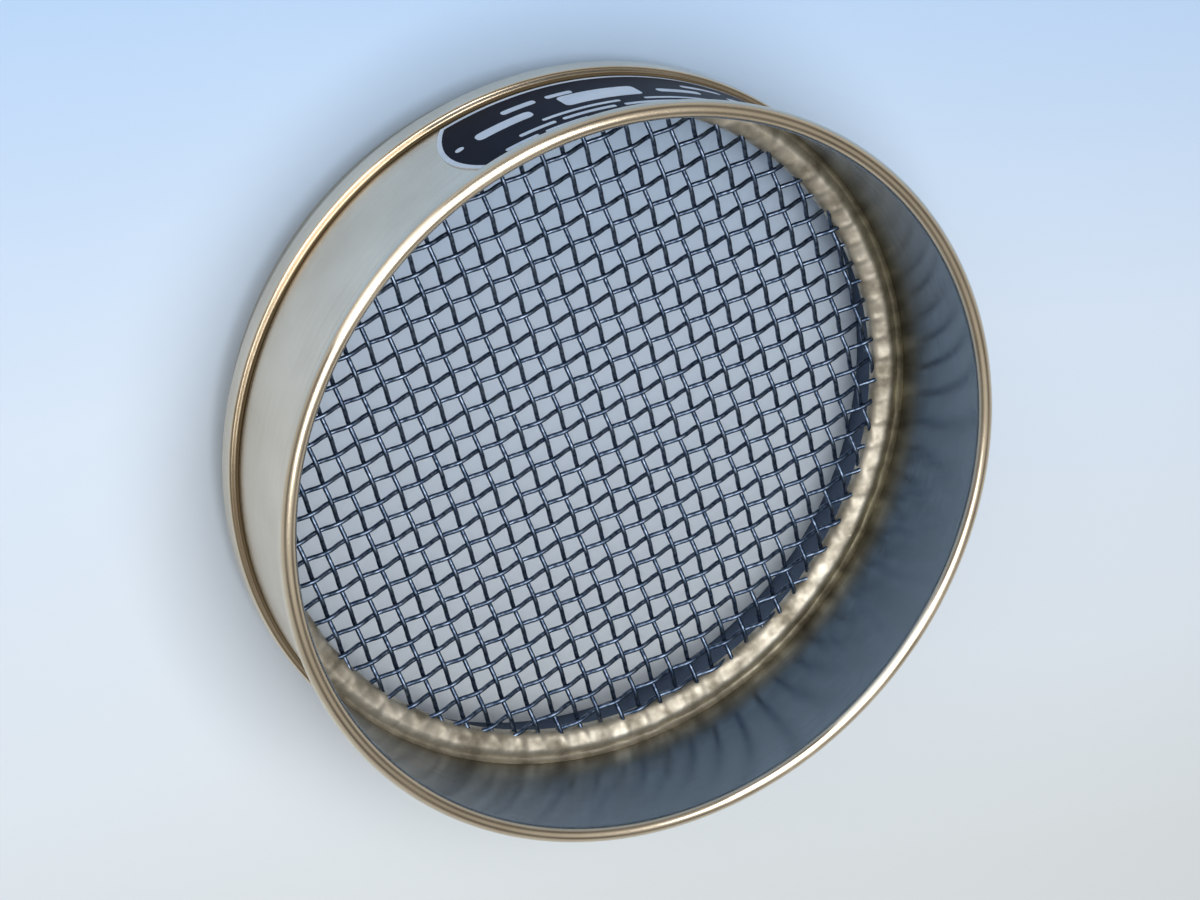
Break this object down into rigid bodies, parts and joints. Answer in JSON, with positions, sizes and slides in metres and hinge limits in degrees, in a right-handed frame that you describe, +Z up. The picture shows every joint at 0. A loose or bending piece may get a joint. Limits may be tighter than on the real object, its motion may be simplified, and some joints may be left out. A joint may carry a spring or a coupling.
{
  "type": "laboratory test sieve",
  "caption": "Round laboratory test sieve: steel frame with a rolled rim and nesting skirt around a coarse plain-woven wire cloth.",
  "frame": {"origin": "on the sieve's axis, at the bottom edge of the skirt", "axes": "+Z up along the sieve's axis, out of the open top; -Y is the front, where the label plate's middle lies"},
  "size_m": [0.213, 0.213, 0.066],
  "materials": {
    "frame_steel": "polished",
    "cloth_wire": "satin",
    "solder": "satin",
    "label": "gloss"
  },
  "bodies": {
    "root": {"upper_frame": "frame_steel", "skirt_ring": "frame_steel", "warp_wires": "cloth_wire", "weft_wires": "cloth_wire", "solder_ring": "solder", "label_plate": "label"}
  },
  "joints": []
}
